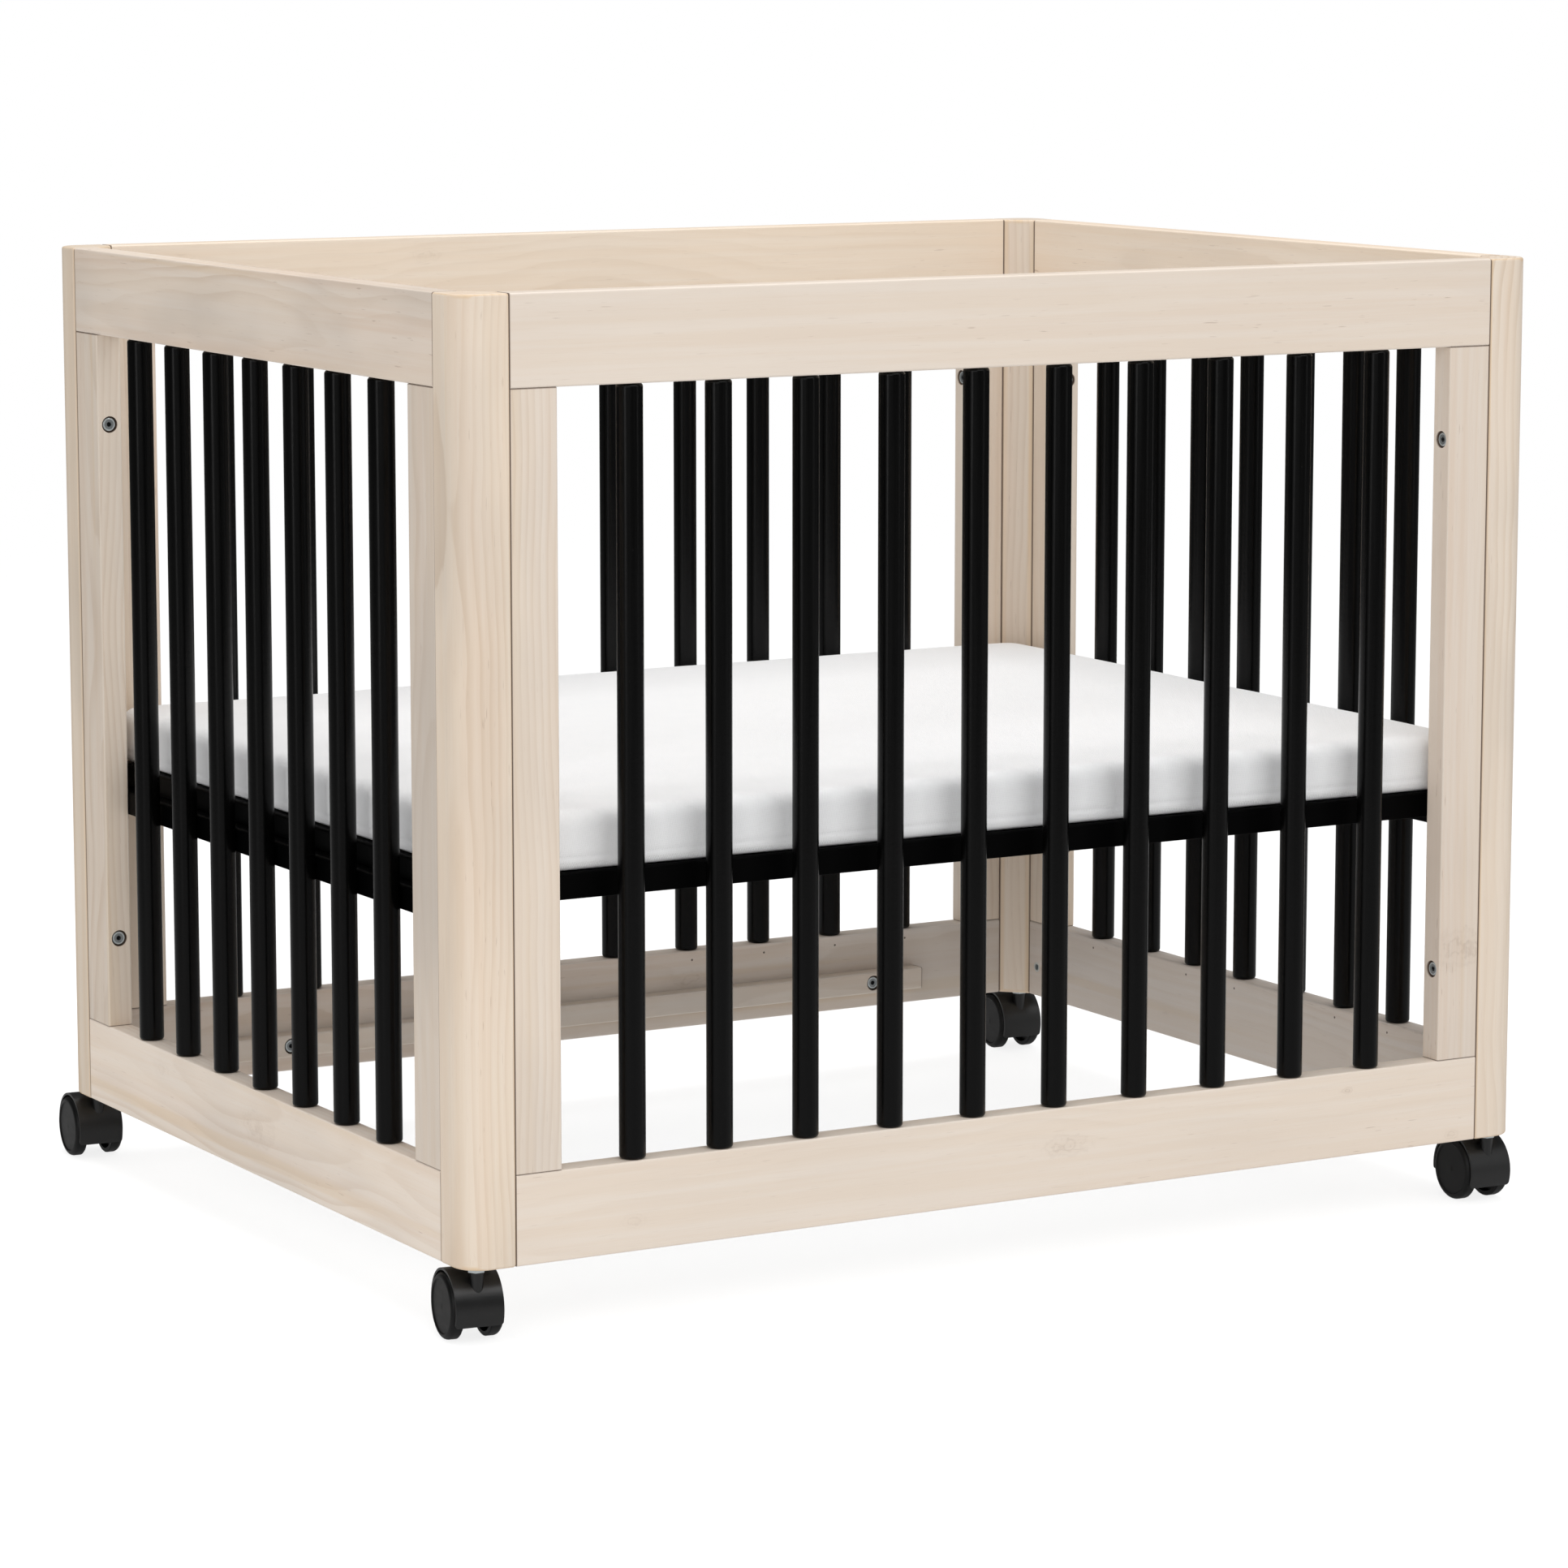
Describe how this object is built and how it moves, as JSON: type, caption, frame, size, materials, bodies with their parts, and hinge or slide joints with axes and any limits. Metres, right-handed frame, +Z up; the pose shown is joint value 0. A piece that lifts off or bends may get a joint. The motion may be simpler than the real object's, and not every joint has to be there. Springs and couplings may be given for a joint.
{
  "type": "mini crib",
  "caption": "Wooden mini crib with slatted side panels between square posts, a steel support carrying a thin mattress, and twin-wheel swivel casters.",
  "frame": {"origin": "on the floor, under the middle of the whole footprint, back casters included", "axes": "+X along the crib's length to its right end, +Y to the back, +Z up"},
  "size_m": [1.0579, 0.8556, 0.843],
  "materials": {
    "whitewashed_pine": "satin whitewash over pine grain",
    "bare_beech": "bare",
    "black_lacquered_wood": "satin black lacquer",
    "black_steel": "fine black powder coat",
    "zinc_steel": "bright zinc plate",
    "black_nylon": "moulded satin",
    "black_wheel": "moulded satin",
    "mattress_cover": "smooth white wipe-clean cover"
  },
  "bodies": {
    "crib": {"back_bottom_rail": "whitewashed_pine", "back_cleat": "whitewashed_pine", "back_spindles": "black_lacquered_wood", "back_stile_left": "whitewashed_pine", "back_stile_right": "whitewashed_pine", "back_top_rail": "whitewashed_pine", "caster_inserts": "zinc_steel", "caster_stems": "zinc_steel", "cleat_bolts": "zinc_steel", "cleat_inserts": "zinc_steel", "front_bottom_rail": "whitewashed_pine", "front_cleat": "whitewashed_pine", "front_spindles": "black_lacquered_wood", "front_stile_left": "whitewashed_pine", "front_stile_right": "whitewashed_pine", "front_top_rail": "whitewashed_pine", "left_bottom_rail": "whitewashed_pine", "left_spindles": "black_lacquered_wood", "left_stile_back": "whitewashed_pine", "left_stile_front": "whitewashed_pine", "left_top_rail": "whitewashed_pine", "panel_bolts": "zinc_steel", "panel_dowels": "bare_beech", "post_back_left": "whitewashed_pine", "post_back_right": "whitewashed_pine", "post_front_left": "whitewashed_pine", "post_front_right": "whitewashed_pine", "post_inserts": "zinc_steel", "right_bottom_rail": "whitewashed_pine", "right_spindles": "black_lacquered_wood", "right_stile_back": "whitewashed_pine", "right_stile_front": "whitewashed_pine", "right_top_rail": "whitewashed_pine", "support_bar_back": "black_steel", "support_bar_front": "black_steel", "support_bar_left": "black_steel", "support_bar_right": "black_steel", "support_bolts": "zinc_steel", "support_hanger_left": "black_steel", "support_hanger_right": "black_steel", "support_inserts": "zinc_steel", "support_slats": "black_steel"},
    "mattress": {"mattress": "mattress_cover"},
    "caster_front_left": {"caster_hood_front_left": "black_nylon", "caster_axle_front_left": "zinc_steel"},
    "wheel_front_left_outer": {"caster_wheel_front_left_outer": "black_wheel"},
    "wheel_front_left_inner": {"caster_wheel_front_left_inner": "black_wheel"},
    "caster_front_right": {"caster_hood_front_right": "black_nylon", "caster_axle_front_right": "zinc_steel"},
    "wheel_front_right_outer": {"caster_wheel_front_right_outer": "black_wheel"},
    "wheel_front_right_inner": {"caster_wheel_front_right_inner": "black_wheel"},
    "caster_back_left": {"caster_hood_back_left": "black_nylon", "caster_axle_back_left": "zinc_steel"},
    "wheel_back_left_outer": {"caster_wheel_back_left_outer": "black_wheel"},
    "wheel_back_left_inner": {"caster_wheel_back_left_inner": "black_wheel"},
    "caster_back_right": {"caster_hood_back_right": "black_nylon", "caster_axle_back_right": "zinc_steel"},
    "wheel_back_right_outer": {"caster_wheel_back_right_outer": "black_wheel"},
    "wheel_back_right_inner": {"caster_wheel_back_right_inner": "black_wheel"}
  },
  "joints": [
    {"name": "mattress_lift", "type": "slide", "parent": "crib", "child": "mattress", "axis": [0, 0, 1], "range_m": [0, 0.48]},
    {"name": "caster_front_left_swivel", "type": "hinge", "parent": "crib", "child": "caster_front_left", "pos_m": [-0.504, -0.408, 0.045], "axis": [0, 0, 1], "continuous": true},
    {"name": "wheel_front_left_outer_spin", "type": "hinge", "parent": "caster_front_left", "child": "wheel_front_left_outer", "pos_m": [-0.50132, -0.38616, 0.0275], "axis": [0.9925, -0.1219, 0], "continuous": true},
    {"name": "wheel_front_left_inner_spin", "type": "hinge", "parent": "caster_front_left", "child": "wheel_front_left_inner", "pos_m": [-0.50132, -0.38616, 0.0275], "axis": [0.9925, -0.1219, 0], "continuous": true},
    {"name": "caster_front_right_swivel", "type": "hinge", "parent": "crib", "child": "caster_front_right", "pos_m": [0.504, -0.408, 0.045], "axis": [0, 0, 1], "continuous": true},
    {"name": "wheel_front_right_outer_spin", "type": "hinge", "parent": "caster_front_right", "child": "wheel_front_right_outer", "pos_m": [0.50515, -0.38603, 0.0275], "axis": [0.9986, -0.0523, 0], "continuous": true},
    {"name": "wheel_front_right_inner_spin", "type": "hinge", "parent": "caster_front_right", "child": "wheel_front_right_inner", "pos_m": [0.50515, -0.38603, 0.0275], "axis": [0.9986, -0.0523, 0], "continuous": true},
    {"name": "caster_back_left_swivel", "type": "hinge", "parent": "crib", "child": "caster_back_left", "pos_m": [-0.504, 0.374, 0.045], "axis": [0, 0, 1], "continuous": true},
    {"name": "wheel_back_left_outer_spin", "type": "hinge", "parent": "caster_back_left", "child": "wheel_back_left_outer", "pos_m": [-0.50247, 0.39595, 0.0275], "axis": [0.9976, -0.0698, 0], "continuous": true},
    {"name": "wheel_back_left_inner_spin", "type": "hinge", "parent": "caster_back_left", "child": "wheel_back_left_inner", "pos_m": [-0.50247, 0.39595, 0.0275], "axis": [0.9976, -0.0698, 0], "continuous": true},
    {"name": "caster_back_right_swivel", "type": "hinge", "parent": "crib", "child": "caster_back_right", "pos_m": [0.504, 0.374, 0.045], "axis": [0, 0, 1], "continuous": true},
    {"name": "wheel_back_right_outer_spin", "type": "hinge", "parent": "caster_back_right", "child": "wheel_back_right_outer", "pos_m": [0.50592, 0.39592, 0.0275], "axis": [0.9962, -0.0872, 0], "continuous": true},
    {"name": "wheel_back_right_inner_spin", "type": "hinge", "parent": "caster_back_right", "child": "wheel_back_right_inner", "pos_m": [0.50592, 0.39592, 0.0275], "axis": [0.9962, -0.0872, 0], "continuous": true}
  ]
}
